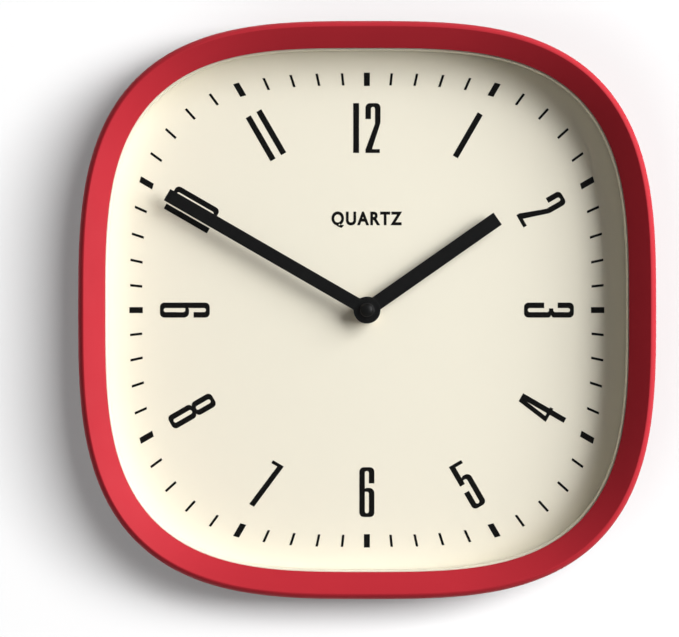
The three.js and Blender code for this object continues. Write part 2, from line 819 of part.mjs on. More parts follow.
function makeCell() {
  const end = 2 * CELL_HALF_LENGTH;
  const body = turned(
    [
      [0, 0.3],
      [4.5, 0.3],
      [4.8, 0],
      [CELL_RADIUS - 0.5, 0],
      [CELL_RADIUS, 0.5],
      [CELL_RADIUS, end - 2],
      [CELL_RADIUS - 0.6, end - 1.3],
      [2.7, end - 1.3],
      [2.7, end],
      [0, end],
    ],
    20,
  );
  return body.rotateZ(-Math.PI / 2).translate(-CELL_HALF_LENGTH, cellY, cellZ);
}

// ---- Washers, nut and hands ----
const washerBack = dialFront - GAP;
const rubberFront = boardBack + GAP;

function makeWasher(outer, back, front) {
  const shape = disc(outer);
  shape.holes = [circlePath(0, 0, BUSH_RADIUS + 0.2)];
  return plate(shape, back, front);
}

function makeNut() {
  const shape = new THREE.Shape();
  for (let i = 0; i < 6; i++) {
    const angle = (Math.PI / 3) * i;
    shape[i ? "lineTo" : "moveTo"](NUT_RADIUS * Math.cos(angle), NUT_RADIUS * Math.sin(angle));
  }
  shape.holes = [circlePath(0, 0, BUSH_RADIUS + 0.15)];
  const seat = washerBack - WASHER_THICKNESS - GAP;
  return plate(shape, seat, seat - NUT_HEIGHT);
}

// A square-ended blade on a round boss, drawn at 12 o'clock and turned clockwise.
function makeHand(length, width, bore, seat, clockwise) {
  const shoulder = Math.asin(width / 2 / HUB_RADIUS);
  const shape = new THREE.Shape();
  shape.moveTo(width / 2, length);
  shape.lineTo(-width / 2, length);
  shape.absarc(0, 0, HUB_RADIUS, Math.PI / 2 + shoulder, Math.PI / 2 - shoulder + 2 * Math.PI);
  shape.closePath();
  shape.holes = [circlePath(0, 0, bore)];
  const hand = plate(shape, seat, seat - HAND_THICKNESS);
  return hand.rotateY(THREE.MathUtils.degToRad(clockwise));
}

function makeCap() {
  const base = handSeat - HAND_THICKNESS - GAP;
  const dome = [];
  const steps = 4;
  for (let i = 0; i <= steps; i++) {
    const turn = (Math.PI / 2) * (i / steps);
    dome.push([CAP_RADIUS * Math.cos(turn), base - CAP_RIM - CAP_DOME * Math.sin(turn)]);
  }
  const socket = base - CAP_SOCKET_DEPTH;
  const profile = [
    [CAP_SOCKET_RADIUS, base],
    [CAP_RADIUS, base],
    ...dome,
    [0, socket],
    [CAP_SOCKET_RADIUS, socket],
  ];
  return turned([...profile, profile[0]], 20);
}

// ---- Assembly ----
const clock = new THREE.Group();
clock.position.z = -HANG_HEIGHT;

function add(name, material, geometry) {
  const mesh = new THREE.Mesh(toGeometry(toSolid(geometry)), material);
  mesh.name = name;
  clock.add(mesh);
}

add("case_shell", redPlastic, makeCase());
add("glass_lens", clearGlass, makePane());
add("spacer_ring", creamPaint, makeSpacer());
add("dial_plate", creamPaint, makeDial());
add("back_board", hardboard, makeBoard());
bosses.forEach((p, i) => add(`board_screw_${i + 1}`, steel, makeScrew(p.x, p.y, boardBack)));
add("hanger_plate", steel, makeHanger());
[-1, 1].forEach((side, i) =>
  add(
    `hanger_screw_${i + 1}`,
    steel,
    makeScrew(side * HANGER_SCREW.x, HANGER_SCREW.z, HANGER_BACK),
  ),
);

add("movement_housing", blackPlastic, makeHousing());
add("movement_cover", blackPlastic, makeCover());
add("middle_plate", whitePlastic, makeMiddlePlate());
add(
  "rubber_washer",
  rubber,
  makeWasher(RUBBER_RADIUS, rubberFront + RUBBER_THICKNESS, rubberFront),
);
add(
  "steel_washer",
  steel,
  makeWasher(WASHER_RADIUS, washerBack, washerBack - WASHER_THICKNESS),
);
add("hex_nut", brass, makeNut());

add("cannon_pinion", brass, makeCannonPinion());
add("minute_work_wheel", whitePlastic, makeMinuteWork());
add("hour_wheel", whitePlastic, makeHourWheel());
add("set_knob", whitePlastic, makeKnob());
add("centre_wheel", whitePlastic, makeCentreWheel());
add("third_wheel", whitePlastic, makeThirdWheel());
add("seconds_wheel", whitePlastic, makeSecondsWheel());
add("intermediate_wheel", whitePlastic, makeIntermediateWheel());
add("rotor", steel, makeRotor());

add("stator_plate", steel, makeStator());
add("coil_core", steel, makeCore());
add("coil_bobbin", whitePlastic, makeBobbin());
add("coil_winding", copper, makeWinding());
add("circuit_board", greenBoard, makeCircuitBoard());
add("chip_blob", blackPlastic, makeChip());
add("crystal_can", steel, makeCrystal());
add("contact_negative", steel, makeNegative());
add("contact_positive", steel, makePositive());
add("battery_cell", cellWrap, makeCell());

add(
  "hour_hand",
  blackPaint,
  makeHand(HOUR_LENGTH, HOUR_WIDTH, HOUR_BORE, hourSeat, HOUR_ANGLE),
);
add(
  "minute_hand",
  blackPaint,
  makeHand(MINUTE_LENGTH, MINUTE_WIDTH, MINUTE_BORE, handSeat, MINUTE_ANGLE),
);
add("hand_cap", blackPaint, makeCap());

export default clock;
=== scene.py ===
"""A red rounded-square wall clock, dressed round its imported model.

Pieces are drawn in millimetres about the hands' axis, with the front towards -Y. piece() turns
them into metres in the model's frame. Their depths are read from the model's own boxes.
"""
import math

import bmesh
import bpy
from mathutils import Matrix, Vector
from mathutils.geometry import delaunay_2d_cdt


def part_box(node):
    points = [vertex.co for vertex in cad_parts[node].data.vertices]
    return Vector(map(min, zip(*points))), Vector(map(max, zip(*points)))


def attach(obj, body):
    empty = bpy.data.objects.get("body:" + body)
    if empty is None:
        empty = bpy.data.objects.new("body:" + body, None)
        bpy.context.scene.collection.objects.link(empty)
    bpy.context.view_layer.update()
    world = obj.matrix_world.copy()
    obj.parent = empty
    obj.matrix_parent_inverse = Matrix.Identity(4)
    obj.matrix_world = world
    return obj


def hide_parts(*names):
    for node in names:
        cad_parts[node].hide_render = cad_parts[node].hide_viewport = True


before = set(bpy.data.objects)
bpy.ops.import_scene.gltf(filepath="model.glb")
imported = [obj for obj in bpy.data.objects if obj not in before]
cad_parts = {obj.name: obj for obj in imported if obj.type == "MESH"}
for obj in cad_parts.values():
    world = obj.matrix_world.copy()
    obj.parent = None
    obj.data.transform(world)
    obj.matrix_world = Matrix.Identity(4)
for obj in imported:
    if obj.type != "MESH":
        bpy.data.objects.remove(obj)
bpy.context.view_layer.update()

# ---- Frame ----
MM = 0.001
case_low, case_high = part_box("case_shell")
AXIS_Z = (case_low.z + case_high.z) / 2  # height of the hands' axis, in metres
TO_FRAME = Matrix.Translation((0, 0, AXIS_Z)) @ Matrix.Scale(MM, 4)
UPRIGHT = Matrix.Rotation(math.pi / 2, 4, "X")  # stands a drawing in XY up to face -Y


def front(node):
    """Y of a node's frontmost point, in millimetres."""
    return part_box(node)[0].y / MM


def back(node):
    """Y of a node's rearmost point, in millimetres."""
    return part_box(node)[1].y / MM


# ---- Sizes, in millimetres; an inset is measured inwards from the case's outline ----
HALF_WIDTH = (case_high.x - case_low.x) / 2 / MM
OUTER_EXPONENT = 3.11  # superellipse of the case's outline
INNER_EXPONENT = 3.27  # and of the bezel's inner edge
OUTLINE_STEPS = 256
GAP = 0.3  # between neighbouring parts
WELD_DISTANCE = 1e-4  # points closer than this are one point

BEZEL_WIDTH = 11.75
BEZEL_FALL = 6.7  # from the crest back to the bezel's inner edge
LIP = 2.6  # inset of the crest
LIP_HEIGHT = 4.5
CREST = front("case_shell")
WALL = 2.5
DRAFT = 1.2  # how far the flank draws in from the lip to the wall
LEDGE = front("glass_lens") - GAP  # the bezel's back, which holds the pane
WELL_INSETS = (7.0, 9.0)
WELL_BACK = back("dial_plate")
BOSSES = 8
BOSS_INSET = 6.0
BOSS_RADIUS = 2.9
PILOT_RADIUS = 1.3
LUG_HALF_WIDTH = 3.5  # the two blocks that take the hanger's screws
LUG_FRONT = -14

PANE_INSET = 9.3
SPACER_INSETS = (9.3, 12.2)
BOARD_INSET = 3.7
BUSH_HOLE = 4.3  # radii of the board's holes
SCREW_HOLE = 1.7

DIAL_FRONT = front("dial_plate")
INK = 0.05  # thickness of the printing on the dial
INK_SINK = 0.02  # and how far it goes into the dial

HUB_RADIUS = 6.0
BLADE_EDGE = 0.12  # rounding of the hands' edges
HOUR_HAND = {"length": 70.9, "width": 6.5, "bore": 2.7, "angle": 55}
MINUTE_HAND = {"length": 102.5, "width": 5.8, "bore": 1.4, "angle": 300}
CAP_RADIUS = 3.5


# ---- Outlines ----
def outline_factor(exponent, angle):
    total = abs(math.cos(angle)) ** exponent + abs(math.sin(angle)) ** exponent
    return total ** (-1 / exponent)


def outline_radius(inset, angle):
    exponent = OUTER_EXPONENT + (INNER_EXPONENT - OUTER_EXPONENT) * inset / BEZEL_WIDTH
    return (HALF_WIDTH - inset) * outline_factor(exponent, angle)


def outline_point(inset, angle):
    radius = outline_radius(inset, angle)
    return Vector((radius * math.cos(angle), radius * math.sin(angle)))


def outline_loop(inset):
    return [outline_point(inset, 2 * math.pi * i / OUTLINE_STEPS) for i in range(OUTLINE_STEPS)]


def circle(x, z, radius, steps=48):
    return arc(x, z, radius, 0, 2 * math.pi, steps)[:-1]


def arc(x, z, radius, start, end, steps):
    angles = [start + (end - start) * i / steps for i in range(steps + 1)]
    return [Vector((x + radius * math.cos(a), z + radius * math.sin(a))) for a in angles]


def rounded(corners, closed=True, steps=5):
    """Points along a polyline of (u, v, radius) corners; every corner gives steps + 1 points."""
    points = []
    for i, (u, v, radius) in enumerate(corners):
        here = Vector((u, v))
        last = not closed and i in (0, len(corners) - 1)
        if radius == 0 or last:
            points += [here] * (steps + 1)
            continue
        before = (Vector(corners[i - 1][:2]) - here).normalized()
        after = (Vector(corners[(i + 1) % len(corners)][:2]) - here).normalized()
        half = before.angle(after) / 2
        centre = here + (before + after).normalized() * radius / math.sin(half)
        start = here + before * radius / math.tan(half) - centre
        end = here + after * radius / math.tan(half) - centre
        turn = start.angle_signed(end)
        for k in range(steps + 1):
            points.append(centre + Matrix.Rotation(-turn * k / steps, 2) @ start)
    return points


def distinct(points, closed=True):
    """The points without those that lie on the one before."""
    kept = [
        p for i, p in enumerate(points)
        if i == 0 or (p - points[i - 1]).length > WELD_DISTANCE
    ]
    if closed and (kept[0] - kept[-1]).length <= WELD_DISTANCE:
        kept.pop()
    return kept


# ---- Meshes ----
SHARP_ANGLE = math.radians(32)
SQUARE_ON = 0.9999  # a face whose normal is this much along the axis is flat


def smooth(mesh):
    """Smooth shading, except on edges past the sharp angle and on faces square to the axis."""
    mesh.shade_smooth()
    mesh.set_sharp_from_angle(angle=SHARP_ANGLE)
    for face in mesh.polygons:
        face.use_smooth = abs(face.normal.y) < SQUARE_ON


def in_scene(name, data):
    """A new object that holds the data, in the scene."""
    made = bpy.data.objects.new(name, data)
    bpy.context.scene.collection.objects.link(made)
    return made


def mesh_of(bm, name):
    mesh = bpy.data.meshes.new(name)
    bm.to_mesh(mesh)
    bm.free()
    return mesh


def evaluated(thing):
    """A new mesh with the object's modifiers, or its curve's or text's settings, applied."""
    return bpy.data.meshes.new_from_object(
        thing.evaluated_get(bpy.context.evaluated_depsgraph_get())
    )


def surface_of(drawing):
    """A curve's or a text's surface, in XY, as a bmesh."""
    drawn = in_scene(drawing.name, drawing)
    mesh = evaluated(drawn)
    bm = bmesh.new()
    bm.from_mesh(mesh)
    bpy.data.objects.remove(drawn)
    bpy.data.meshes.remove(mesh)
    return bm


def piece(name, bm, material, body="root", replaces=()):
    """Makes a piece from a bmesh drawn in millimetres about the hands' axis."""
    bmesh.ops.remove_doubles(bm, verts=bm.verts, dist=WELD_DISTANCE)
    bmesh.ops.recalc_face_normals(bm, faces=bm.faces)
    bm.transform(TO_FRAME)
    mesh = mesh_of(bm, name)
    smooth(mesh)
    mesh.materials.append(material)
    made = in_scene(name, mesh)
    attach(made, body)
    if replaces:
        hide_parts(*replaces)
    return made


def strip_faces(bm, rings, closed):
    """Joins rings of vertices, where a ring may be one vertex, into a band of faces."""
    steps = max(len(ring) for ring in rings)
    pairs = list(zip(rings, rings[1:]))
    if closed:
        pairs.append((rings[-1], rings[0]))
    for a, b in pairs:
        for i in range(steps):
            j = (i + 1) % steps
            corners = (a[i % len(a)], a[j % len(a)], b[j % len(b)], b[i % len(b)])
            if len(set(corners)) > 2:
                bm.faces.new(list(dict.fromkeys(corners)))


def outline_ring(section):
    """A closed section of (inset, y) points carried round the outline."""
    bm = bmesh.new()
    rings = []
    for inset, y in section:
        rings.append([bm.verts.new((p.x, y, p.y)) for p in outline_loop(inset)])
    strip_faces(bm, rings, closed=True)
    return bm


def revolved(profile, steps=64, closed=False):
    """A profile of (radius, y) points turned about the Y axis."""
    bm = bmesh.new()
    rings = []
    for radius, y in profile:
        angles = [2 * math.pi * i / steps for i in range(steps if radius > 0 else 1)]
        ring = [(radius * math.cos(a), y, radius * math.sin(a)) for a in angles]
        rings.append([bm.verts.new(point) for point in ring])
    strip_faces(bm, rings, closed)
    return bm


def plate(node, loops, bevel):
    """Loops of (x, z) points, an outline and its holes, as a plate as deep as the node."""
    back_y, front_y = back(node), front(node)
    curve = bpy.data.curves.new("outline", "CURVE")
    curve.dimensions = "2D"
    curve.fill_mode = "BOTH"
    curve.extrude = (back_y - front_y) / 2 - bevel
    curve.bevel_depth = bevel
    curve.bevel_resolution = 2
    curve.offset = -bevel
    for loop in loops:
        spline = curve.splines.new("POLY")
        spline.points.add(len(loop) - 1)
        for point, (x, z) in zip(spline.points, loop):
            point.co = (x, z, 0, 1)
        spline.use_cyclic_u = True
    bm = surface_of(curve)
    bm.transform(Matrix.Translation((0, (back_y + front_y) / 2, 0)) @ UPRIGHT)
    return bm


def boolean(base, tools, operation):
    """Joins or cuts one piece with scratch objects, which are then deleted."""
    for tool in tools:
        modifier = base.modifiers.new("shape", "BOOLEAN")
        modifier.operation = operation
        modifier.solver = "EXACT"
        modifier.object = tool
    made = evaluated(base)
    base.modifiers.clear()
    base.data = made
    made.validate()
    for tool in tools:
        bpy.data.objects.remove(tool)


def scratch(bm, rotation=Matrix(), offset=(0, 0, 0)):
    """A bmesh in millimetres as an object in the model's frame, to join or cut with."""
    bmesh.ops.recalc_face_normals(bm, faces=bm.faces)
    bm.transform(TO_FRAME @ Matrix.Translation(offset) @ rotation)
    return in_scene("scratch", mesh_of(bm, "scratch"))


def block(x0, x1, y0, y1, z0, z1):
    bm = bmesh.new()
    bmesh.ops.create_cube(bm, size=1)
    bmesh.ops.scale(bm, vec=(x1 - x0, y1 - y0, z1 - z0), verts=bm.verts)
    middle = ((x0 + x1) / 2, (y0 + y1) / 2, (z0 + z1) / 2)
    bmesh.ops.translate(bm, vec=middle, verts=bm.verts)
    return bm


# ---- Materials ----
MIX_FACTOR, MIX_A, MIX_B, MIX_RESULT = 0, 6, 7, 2  # a Mix node's sockets when it mixes colours


def linear(red, green, blue):
    """An sRGB colour, from 0 to 255, as a linear one."""
    def channel(value):
        value /= 255
        return value / 12.92 if value <= 0.04045 else ((value + 0.055) / 1.055) ** 2.4

    return (channel(red), channel(green), channel(blue), 1)


class Finish:
    """A Principled material with patterns on the object's own coordinates."""

    def __init__(self, name, colour, roughness, metallic=0.0):
        self.material = bpy.data.materials.new(name)
        self.material.use_nodes = True
        self.tree = self.material.node_tree
        self.shader = self.tree.nodes["Principled BSDF"]
        self.colour = colour
        self.set("Base Color", colour)
        self.set("Roughness", roughness)
        self.set("Metallic", metallic)

    def set(self, socket, value):
        self.shader.inputs[socket].default_value = value

    def add(self, kind, **values):
        made = self.tree.nodes.new(kind)
        for name, value in values.items():
            if name[0].isupper():
                made.inputs[name.replace("_", " ")].default_value = value
            else:
                setattr(made, name, value)
        return made

    def link(self, output, target):
        self.tree.links.new(output, target)

    def noise(self, scale, detail=3.0, stretch=(1, 1, 1)):
        """A noise between 0 and 1, with `scale` lumps to the metre."""
        where = self.add("ShaderNodeTexCoord")
        mapping = self.add("ShaderNodeMapping", Scale=stretch)
        texture = self.add("ShaderNodeTexNoise", Scale=scale, Detail=detail)
        self.link(where.outputs["Object"], mapping.inputs["Vector"])
        self.link(mapping.outputs["Vector"], texture.inputs["Vector"])
        return texture.outputs["Fac"]

    def spread(self, value, low, high):
        """Maps the middle of a noise, where nearly all of it lies, onto low to high."""
        spread = self.add(
            "ShaderNodeMapRange", From_Min=0.3, From_Max=0.7, To_Min=low, To_Max=high
        )
        self.link(value, spread.inputs["Value"])
        return spread.outputs["Result"]

    def blend(self, value, low, high, under, over):
        """Mixes `over` into `under`, a colour or a socket, by a noise, as the base colour."""
        mix = self.add("ShaderNodeMix", data_type="RGBA")
        if isinstance(under, tuple):
            mix.inputs[MIX_A].default_value = under
        else:
            self.link(under, mix.inputs[MIX_A])
        mix.inputs[MIX_B].default_value = over
        self.link(self.spread(value, low, high), mix.inputs[MIX_FACTOR])
        self.link(mix.outputs[MIX_RESULT], self.shader.inputs["Base Color"])
        return mix.outputs[MIX_RESULT]

    def mottle(self, value, other):
        """Blends the base colour towards another by a noise."""
        return self.blend(value, 0, 1, self.colour, other)

    def shine(self, value, low, high):
        self.link(self.spread(value, low, high), self.shader.inputs["Roughness"])

    def relief(self, value, height, strength=1.0):
        """Bumps the surface by a noise, `height` millimetres deep."""
        bump = self.add("ShaderNodeBump", Strength=strength, Distance=height * MM)
        self.link(value, bump.inputs["Height"])
        self.link(bump.outputs["Normal"], self.shader.inputs["Normal"])

    def show(self, shader):
        """Makes another shader than the Principled one the surface."""
        self.link(shader, self.tree.nodes["Material Output"].inputs["Surface"])


def darker(colour, share):
    return (*(c * share for c in colour[:3]), 1)


def moulded(name, colour, roughness, grain=2200, depth=0.01):
    """Injection-moulded plastic: faint flow marks, a fine grain and uneven gloss."""
    finish = Finish(name, colour, roughness)
    finish.mottle(finish.noise(26, 2), darker(colour, 0.9))
    finish.shine(finish.noise(140, 4), roughness - 0.05, roughness + 0.06)
    finish.relief(finish.noise(grain, 2), depth, 0.5)
    return finish.material


def metal(name, colour, roughness):
    """Bare or plated metal with drawn or rolled streaks."""
    scale, stretch = 900, (1, 1, 12)
    finish = Finish(name, colour, roughness, metallic=1.0)
    finish.mottle(finish.noise(60, 4), darker(colour, 0.78))
    finish.shine(finish.noise(scale, 3, stretch), roughness - 0.08, roughness + 0.12)
    finish.relief(finish.noise(scale, 2, stretch), 0.006, 0.4)
    return finish.material


def make_red():
    """The case's satin plastic, with little shine and a very fine grain."""
    colour = (0.41, 0.0205, 0.031, 1)
    finish = Finish("red_satin_plastic", colour, 0.56)
    finish.mottle(finish.noise(22, 3), darker(colour, 0.93))
    finish.shine(finish.noise(90, 4), 0.52, 0.61)
    finish.relief(finish.noise(2600, 2), 0.006, 0.4)
    finish.set("Specular IOR Level", 0.08)
    return finish.material


def make_dial_cream():
    """Matte cream ink over a flat ground, with a trace of paper fibre."""
    colour = linear(243, 237, 220)
    finish = Finish("dial_cream", colour, 0.6)
    finish.mottle(finish.noise(700, 5, (1, 1, 2.5)), darker(colour, 0.965))
    finish.shine(finish.noise(400, 3), 0.54, 0.66)
    finish.relief(finish.noise(3200, 3, (1, 1, 2)), 0.004, 0.3)
    finish.set("Specular IOR Level", 0.3)
    return finish.material


def make_black_paint():
    """Satin paint on the hands and their cap, with a faint orange-peel."""
    colour = (0.003, 0.0031, 0.0033, 1)
    finish = Finish("black_satin_paint", colour, 0.42)
    finish.mottle(finish.noise(300, 3), (0.0048, 0.0048, 0.005, 1))
    finish.shine(finish.noise(1200, 3), 0.36, 0.5)
    finish.relief(finish.noise(4200, 2), 0.004, 0.4)
    finish.set("Specular IOR Level", 0.14)
    return finish.material


def make_ink():
    """Screen-printed ink, matte and a little uneven in cover."""
    finish = Finish("black_ink", (0.002, 0.002, 0.0018, 1), 0.65)
    finish.mottle(finish.noise(2500, 4), (0.0042, 0.004, 0.0038, 1))
    finish.shine(finish.noise(2500, 2), 0.58, 0.75)
    finish.set("Specular IOR Level", 0.05)
    return finish.material


def make_hardboard():
    """Brown wood-fibre board: matted fibres, pale flecks and patches of sheen."""
    colour = linear(98, 70, 46)
    finish = Finish("pressed_hardboard", colour, 0.72)
    fibres = finish.noise(520, 8, (1, 1, 3))
    matted = finish.mottle(fibres, linear(62, 42, 27))
    finish.blend(finish.noise(1500, 2, (1, 1, 5)), -1.2, 0.8, matted, linear(146, 112, 76))
    finish.shine(finish.noise(300, 4), 0.6, 0.82)
    finish.relief(fibres, 0.05, 0.6)
    return finish.material


def make_glass():
    """A clear pane: see-through from the front, a mirror at a graze, with faint smears."""
    face_on, exponent = 0.012, 5  # share of mirror from the front, and how it grows
    finish = Finish("clear_pane", (1, 1, 1, 1), 0)
    finish.tree.nodes.remove(finish.shader)
    through = finish.add("ShaderNodeBsdfTransparent", Color=(0.99, 0.992, 0.99, 1))
    mirror = finish.add("ShaderNodeBsdfGlossy")
    facing = finish.add("ShaderNodeLayerWeight", Blend=0.5)
    steep = finish.add("ShaderNodeMath", operation="POWER")
    steep.inputs[1].default_value = exponent
    share = finish.add("ShaderNodeMapRange", To_Min=face_on)
    mix = finish.add("ShaderNodeMixShader")
    where = finish.add("ShaderNodeTexCoord")
    smears = finish.add("ShaderNodeTexNoise", Scale=18, Detail=6)
    gloss = finish.add("ShaderNodeMapRange", To_Min=0.01, To_Max=0.06)
    finish.link(where.outputs["Object"], smears.inputs["Vector"])
    finish.link(smears.outputs["Fac"], gloss.inputs["Value"])
    finish.link(gloss.outputs["Result"], mirror.inputs["Roughness"])
    finish.link(facing.outputs["Facing"], steep.inputs[0])
    finish.link(steep.outputs["Value"], share.inputs["Value"])
    finish.link(share.outputs["Result"], mix.inputs["Fac"])
    finish.link(through.outputs["BSDF"], mix.inputs[1])
    finish.link(mirror.outputs["BSDF"], mix.inputs[2])
    finish.show(mix.outputs["Shader"])
    return finish.material


def make_sleeve():
    """The cell's printed sleeve: grey-blue, then a pale line and a tan band, a little worn."""
    half_length = 0.0252
    band_start, line_start = 0.72, 0.7  # as shares of the length
    wrap = linear(74, 92, 112)
    finish = Finish("cell_sleeve", wrap, 0.32)
    where = finish.add("ShaderNodeTexCoord")
    parts = finish.add("ShaderNodeSeparateXYZ")
    ramp = finish.add("ShaderNodeValToRGB")
    place = finish.add("ShaderNodeMapRange", From_Min=-half_length, From_Max=half_length)
    stops = ramp.color_ramp
    stops.interpolation = "CONSTANT"
    stops.elements[0].color = wrap
    stops.elements[1].position = band_start
    stops.elements[1].color = linear(190, 150, 90)
    stops.elements.new(line_start).color = linear(225, 225, 220)
    finish.link(where.outputs["Object"], parts.inputs["Vector"])
    finish.link(parts.outputs["X"], place.inputs["Value"])
    finish.link(place.outputs["Result"], ramp.inputs["Fac"])
    finish.blend(finish.noise(220, 5), 0, 0.18, ramp.outputs["Color"], linear(40, 46, 54))
    finish.shine(finish.noise(500, 3), 0.26, 0.4)
    return finish.material


def make_circuit_green():
    """Lacquered circuit board with the weave showing faintly."""
    colour = linear(34, 98, 58)
    finish = Finish("circuit_board_green", colour, 0.45)
    finish.mottle(finish.noise(500, 1, (1, 1, 4)), linear(24, 74, 44))
    finish.shine(finish.noise(700, 3), 0.35, 0.55)
    return finish.material


def make_copper():
    """Enamelled wire in even turns along the coil."""
    colour = linear(182, 98, 52)
    finish = Finish("copper_winding", colour, 0.35, metallic=1.0)
    where = finish.add("ShaderNodeTexCoord")
    turns = finish.add("ShaderNodeTexWave", Scale=2600.0, Distortion=0.4)
    turns.wave_type = "BANDS"
    finish.link(where.outputs["Object"], turns.inputs["Vector"])
    finish.mottle(turns.outputs["Fac"], darker(colour, 0.5))
    finish.relief(turns.outputs["Fac"], 0.04)
    return finish.material


RED = make_red()
GLASS = make_glass()
DIAL_CREAM = make_dial_cream()
SPACER_CREAM = moulded("spacer_cream", linear(240, 234, 217), 0.5)
BLACK_PAINT = make_black_paint()
INK_BLACK = make_ink()
HARDBOARD = make_hardboard()
STEEL = metal("zinc_plated_steel", (0.62, 0.63, 0.64, 1), 0.34)
BRASS = metal("turned_brass", (0.79, 0.58, 0.24, 1), 0.3)
BLACK_PLASTIC = moulded("black_moulding", (0.016, 0.016, 0.018, 1), 0.5, depth=0.02)
WHITE_PLASTIC = moulded("white_moulding", linear(228, 226, 216), 0.45)
RUBBER = moulded("washer_rubber", (0.02, 0.02, 0.02, 1), 0.85, grain=1500, depth=0.03)
COPPER = make_copper()
GREEN = make_circuit_green()
SLEEVE = make_sleeve()

# ---- The model's own nodes that keep their shape ----
KEPT = {
    DIAL_CREAM: ["dial_plate"],
    BLACK_PLASTIC: ["movement_housing", "movement_cover", "chip_blob"],
    WHITE_PLASTIC: [
        "middle_plate", "minute_work_wheel", "hour_wheel", "set_knob", "centre_wheel",
        "third_wheel", "seconds_wheel", "intermediate_wheel", "coil_bobbin",
    ],
    STEEL: [
        "rotor", "stator_plate", "coil_core", "crystal_can", "contact_negative",
        "contact_positive",
    ],
    RUBBER: ["rubber_washer"],
    BRASS: ["hex_nut", "cannon_pinion"],
    COPPER: ["coil_winding"],
    GREEN: ["circuit_board"],
}
SOFTENED = {  # width of the rounding on each node's edges, in millimetres
    "movement_housing": 0.35, "movement_cover": 0.2, "set_knob": 0.12, "hex_nut": 0.3,
    "contact_negative": 0.08, "contact_positive": 0.08, "middle_plate": 0.1,
    "stator_plate": 0.1, "circuit_board": 0.1, "coil_core": 0.1,
}
FLAT_ANGLE = math.radians(1)  # faces that meet at less than this are one face
CORNER_ANGLE = math.radians(40)  # and edges that turn by more than this are rounded


def dress_nodes():
    """Gives the kept nodes their materials, and rounds the edges of those in SOFTENED."""
    for material, names in KEPT.items():
        for name in names:
            for material_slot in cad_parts[name].material_slots:
                material_slot.material = material
    for name, width in SOFTENED.items():
        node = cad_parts[name]
        weld = node.modifiers.new("weld", "WELD")
        weld.merge_threshold = 1e-6
        flatten = node.modifiers.new("flatten", "DECIMATE")
        flatten.decimate_type = "DISSOLVE"
        flatten.angle_limit = FLAT_ANGLE
        soften = node.modifiers.new("soften", "BEVEL")
        soften.width = width * MM
        soften.segments = 2
        soften.angle_limit = CORNER_ANGLE


# ---- Case, spacer, pane and board ----
def boss_places():
    angles = [2 * math.pi * (i + 0.5) / BOSSES for i in range(BOSSES)]
    return [outline_point(BOSS_INSET, angle) for angle in angles]


def lip_corners():
    """The quarter ellipse from the flank up to the crest, without its last point."""
    steps = 14
    corners = []
    for i in range(steps):
        turn = math.pi / 2 * i / steps
        corners.append(
            (LIP * (1 - math.cos(turn)), CREST + LIP_HEIGHT * (1 - math.sin(turn)), 0)
        )
    return corners


def make_case():
    """A hollow ring: flank, lip, bezel, the well's tube behind it, and the flank's inside."""
    well_outside, well_inside = WELL_INSETS
    shoulder = CREST + LIP_HEIGHT
    thicker, fillet = 1, 2.5  # the wall grows inwards by this, over this depth, at the shoulder
    well_foot = 1.2  # the well's outside goes this far past the ledge into the bezel
    section = rounded([  # (inset, y, radius of the rounding)
        (DRAFT, 0, 0.4),
        *lip_corners(),
        (LIP, CREST, 0.35),
        (BEZEL_WIDTH, CREST + BEZEL_FALL, 0.35),
        (BEZEL_WIDTH, LEDGE, 0.25),
        (well_inside, LEDGE, 0.2),
        (well_inside, WELL_BACK, 0.2),
        (well_outside, WELL_BACK, 0.2),
        (well_outside, LEDGE - well_foot, 0.5),
        (WALL + thicker, shoulder, 0.5),
        (WALL, shoulder + fillet, 0.5),
        (WALL + DRAFT, 0, 0.4),
    ])
    case = piece(
        "moulded_case", outline_ring(distinct(section)), RED,
        replaces=["case_shell"],
    )
    tools = []
    boss_front, boss_back = LEDGE + 0.1, WELL_BACK + 0.12  # no face lies in a face of the well
    tube = [
        (PILOT_RADIUS, boss_front), (PILOT_RADIUS, boss_back),
        (BOSS_RADIUS, boss_back), (BOSS_RADIUS, boss_front),
    ]
    for place in boss_places():
        boss = revolved(tube, 32, closed=True)
        tools.append(scratch(boss, offset=(place.x, 0, place.y)))
    lug_back = front("hanger_plate") - GAP
    lug_top = HALF_WIDTH - WALL + 0.4  # a little way into the top wall
    for screw in ("hanger_screw_1", "hanger_screw_2"):
        low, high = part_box(screw)
        x = (low.x + high.x) / 2 / MM
        z = ((low.z + high.z) / 2 - AXIS_Z) / MM
        tools.append(scratch(block(
            x - LUG_HALF_WIDTH, x + LUG_HALF_WIDTH, LUG_FRONT, lug_back,
            z - LUG_HALF_WIDTH, lug_top,
        )))
    boolean(case, tools, "UNION")
    smooth(case.data)


def make_spacer():
    """The ring between the dial and the pane."""
    outer, inner = SPACER_INSETS
    rear, fore = back("spacer_ring"), front("spacer_ring")
    section = rounded([
        (outer, rear, 0.3), (outer, fore, 0.3), (inner, fore, 0.35), (inner, rear, 0.3),
    ])
    piece(
        "spacer_moulding", outline_ring(distinct(section)), SPACER_CREAM,
        replaces=["spacer_ring"],
    )


def make_pane():
    bm = plate("glass_lens", [outline_loop(PANE_INSET)], bevel=0.2)
    piece("pane", bm, GLASS, replaces=["glass_lens"])


def make_board():
    holes = [circle(p.x, p.y, SCREW_HOLE, 24) for p in boss_places()]
    loops = [outline_loop(BOARD_INSET), circle(0, 0, BUSH_HOLE), *holes]
    bm = plate("back_board", loops, bevel=0.25)
    piece("hardboard_back", bm, HARDBOARD, replaces=["back_board"])


